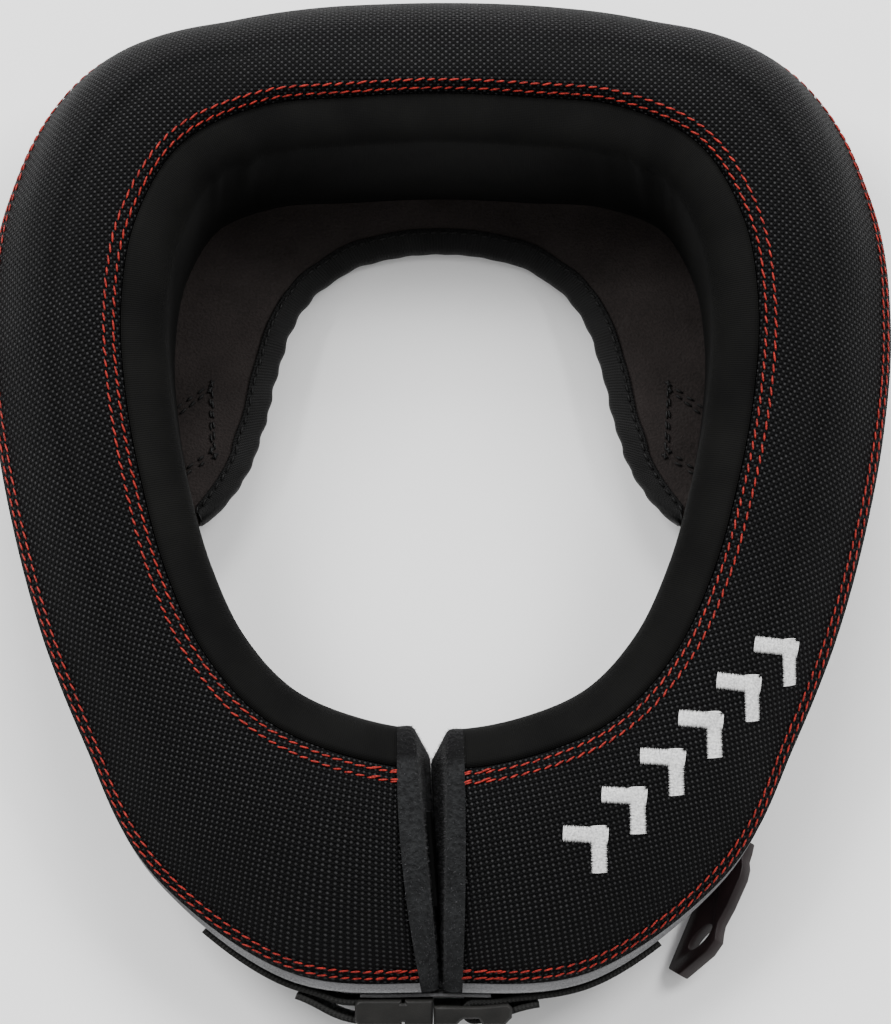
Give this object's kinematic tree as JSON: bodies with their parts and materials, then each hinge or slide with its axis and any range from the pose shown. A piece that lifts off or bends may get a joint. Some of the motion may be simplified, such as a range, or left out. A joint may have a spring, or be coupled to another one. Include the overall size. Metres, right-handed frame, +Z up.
{
  "type": "motocross neck brace",
  "caption": "Padded horseshoe collar with a raised back, an inner neck yoke and a front slot closed by a side-release buckle on webbing.",
  "frame": {"origin": "middle of the bounding box, on the flat underside that the collar rests on", "axes": "+Z up, -Y towards the front slot and buckle, +X to the side with the moulded tab"},
  "size_m": [0.2876, 0.3258, 0.08],
  "materials": {
    "woven_cover": "coarse ballistic weave, matt black",
    "stretch_lining": "smooth stretch knit, black",
    "grey_panel": "soft brushed fabric, mid grey",
    "yoke_fabric": "brushed fabric, warm black",
    "binding_tape": "ribbed binding tape, black",
    "facing_fabric": "fuzzy foam-backed fabric, dark grey",
    "closure_patch": "ribbed hook tape, black",
    "webbing": "ribbed webbing, black",
    "buckle_plastic": "satin moulded plastic, black",
    "tab_plastic": "smooth moulded plastic, black"
  },
  "bodies": {
    "root": {"padded_ring": "woven_cover", "inner_lining": "stretch_lining", "base_panel": "grey_panel", "neck_yoke": "yoke_fabric", "yoke_binding": "binding_tape", "end_facing_left": "facing_fabric", "end_facing_right": "facing_fabric", "hook_patch": "closure_patch", "strap_left": "webbing", "strap_right": "webbing", "buckle_socket": "buckle_plastic", "buckle_plug": "buckle_plastic", "buckle_guard": "grey_panel", "side_tab": "tab_plastic", "tab_loop": "webbing"}
  },
  "joints": []
}
